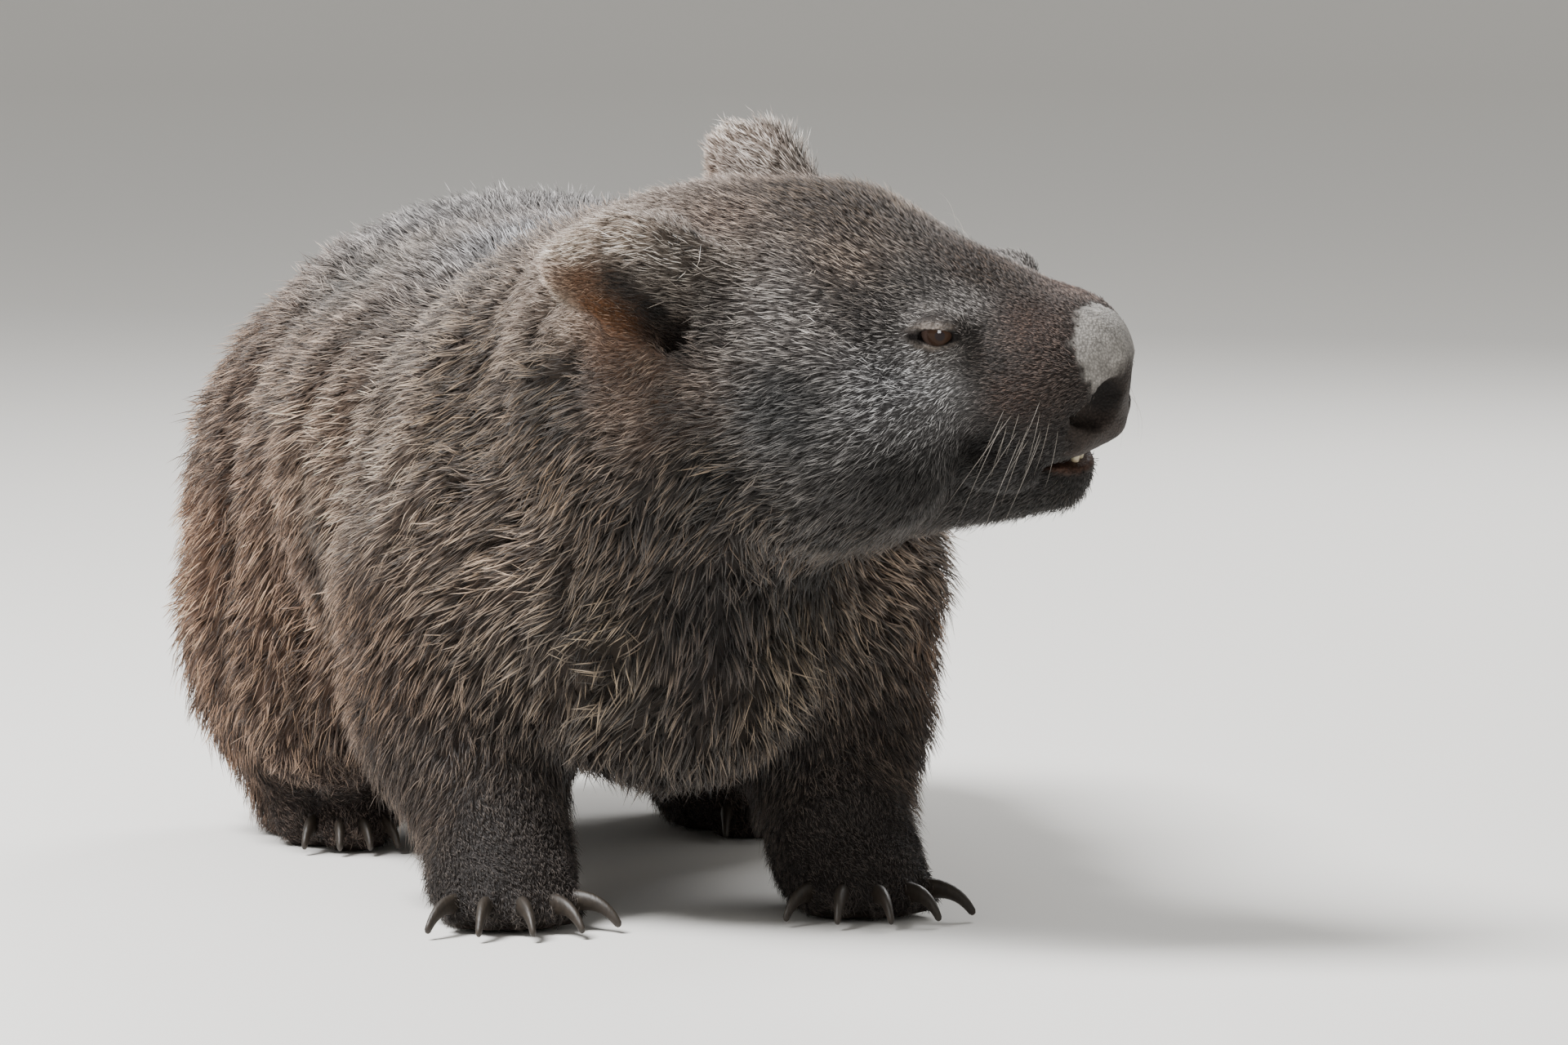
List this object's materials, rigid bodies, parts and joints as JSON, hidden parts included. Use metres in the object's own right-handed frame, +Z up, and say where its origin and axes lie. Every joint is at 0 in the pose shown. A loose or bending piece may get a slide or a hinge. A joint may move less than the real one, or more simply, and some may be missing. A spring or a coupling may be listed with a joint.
{
  "type": "wombat model",
  "caption": "Life-size still model of an adult common wombat standing on all fours with its head turned to its left, mouth slightly open, in a thick coarse coat.",
  "frame": {"origin": "centre of the model's box on the floor, under the belly", "axes": "+Z up, the body faces -Y, +X is the animal's left side; the head is turned towards +X"},
  "size_m": [0.3565, 0.7182, 0.3652],
  "materials": {
    "ear_fur": "thin tan and grey fur",
    "eye": "dark wet eye",
    "claw_horn": "dark horn",
    "coat_dark": "coarse dark brown fur",
    "coat_grey": "short dark grey fur with pale streaks",
    "coat_brown": "coarse brown fur",
    "enamel": "smooth enamel",
    "nose_leather": "bare grey pebbled skin"
  },
  "bodies": {
    "root": {"ear_left": "ear_fur", "ear_right": "ear_fur", "eye_left": "eye", "eye_right": "eye", "foreclaw_left_1": "claw_horn", "foreclaw_left_2": "claw_horn", "foreclaw_left_3": "claw_horn", "foreclaw_left_4": "claw_horn", "foreclaw_left_5": "claw_horn", "foreclaw_right_1": "claw_horn", "foreclaw_right_2": "claw_horn", "foreclaw_right_3": "claw_horn", "foreclaw_right_4": "claw_horn", "foreclaw_right_5": "claw_horn", "foreleg_left": "coat_dark", "foreleg_right": "coat_dark", "forepaw_left": "coat_dark", "forepaw_right": "coat_dark", "head": "coat_grey", "hindclaw_left_1": "claw_horn", "hindclaw_left_2": "claw_horn", "hindclaw_left_3": "claw_horn", "hindclaw_left_4": "claw_horn", "hindclaw_right_1": "claw_horn", "hindclaw_right_2": "claw_horn", "hindclaw_right_3": "claw_horn", "hindclaw_right_4": "claw_horn", "hindleg_left": "coat_brown", "hindleg_right": "coat_brown", "hindpaw_left": "coat_dark", "hindpaw_right": "coat_dark", "lower_incisors": "enamel", "lower_jaw": "coat_dark", "neck": "coat_brown", "nose_pad": "nose_leather", "tail": "coat_brown", "torso": "coat_brown"}
  },
  "joints": []
}
